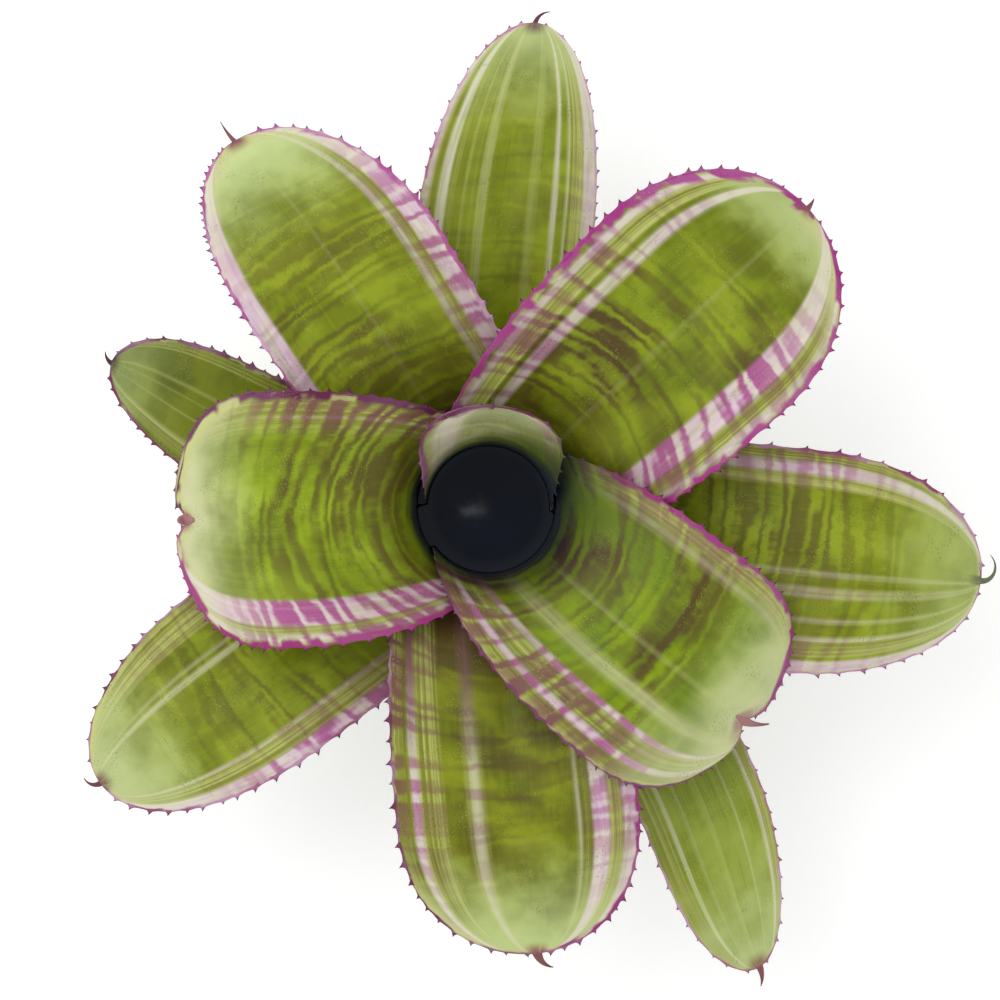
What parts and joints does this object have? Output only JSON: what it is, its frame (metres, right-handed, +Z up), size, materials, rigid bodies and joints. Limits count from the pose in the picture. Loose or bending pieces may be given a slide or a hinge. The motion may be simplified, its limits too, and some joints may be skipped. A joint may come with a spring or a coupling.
{
  "type": "neoregelia plant",
  "caption": "Tank bromeliad rosette: broad banded strap leaves with toothed margins round a water-filled central cup, on a short cut stem.",
  "frame": {"origin": "centre of the stem's flat cut base, on the plant's axis", "axes": "+Z up along the plant's axis, out of the cup's mouth; +X towards the leaf that lies nearest to the viewer's right as the rosette is seen from above, a few degrees off that leaf's midrib"},
  "size_m": [0.2884, 0.3104, 0.1279],
  "materials": {
    "leaf": "waxy green leaf with purple-brown cross-bands, cream stripes and a magenta margin",
    "young_leaf": "pale waxy young leaf with magenta margins",
    "stem": "short brown stem with leaf scars and a pale cut face",
    "water": "dark still water, stood in for by a solid with a mirror-smooth top"
  },
  "bodies": {
    "root": {"leaf_01": "young_leaf", "leaf_02": "leaf", "leaf_03": "leaf", "leaf_04": "leaf", "leaf_05": "leaf", "leaf_06": "leaf", "leaf_07": "leaf", "leaf_08": "leaf", "leaf_09": "leaf", "leaf_10": "leaf", "leaf_11": "leaf", "stem": "stem", "tank_water": "water"}
  },
  "joints": []
}
